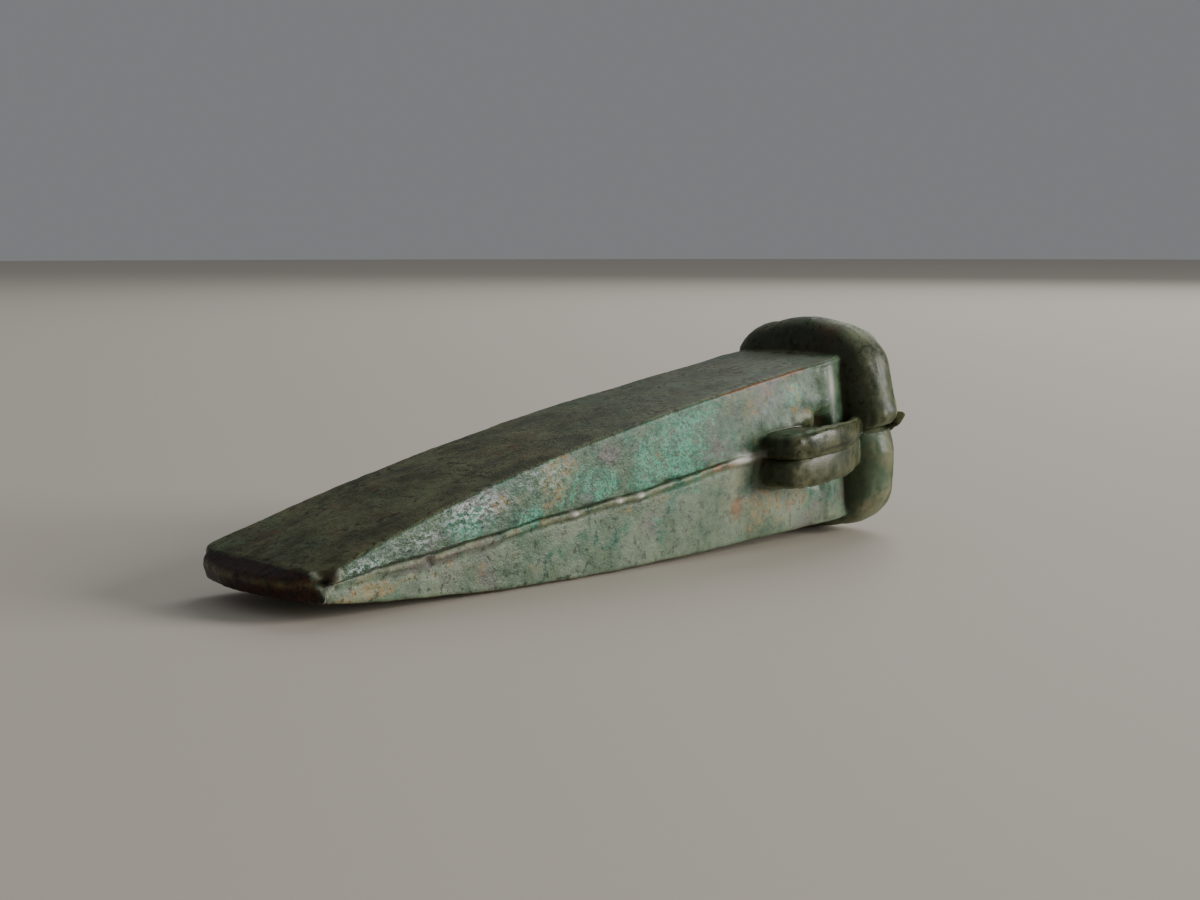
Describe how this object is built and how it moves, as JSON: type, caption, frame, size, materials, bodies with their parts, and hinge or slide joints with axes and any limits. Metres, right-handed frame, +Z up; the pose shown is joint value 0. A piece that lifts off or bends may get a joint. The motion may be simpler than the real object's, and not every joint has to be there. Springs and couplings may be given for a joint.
{
  "type": "socketed axe head",
  "caption": "Blunt, as-cast bronze socketed axe head with a square mouth, a thick rounded collar and a small side loop.",
  "frame": {"origin": "on the floor, under the middle of the axe head's bounding box as it lies on one wide face", "axes": "+X along the axe from the cutting edge to the socket's mouth, -Y towards the side loop, +Z up"},
  "size_m": [0.1296, 0.0374, 0.0386],
  "materials": {
    "bronze": "cast bronze under a granular green and brown corrosion patina"
  },
  "bodies": {
    "root": {"axe_head": "bronze"}
  },
  "joints": []
}
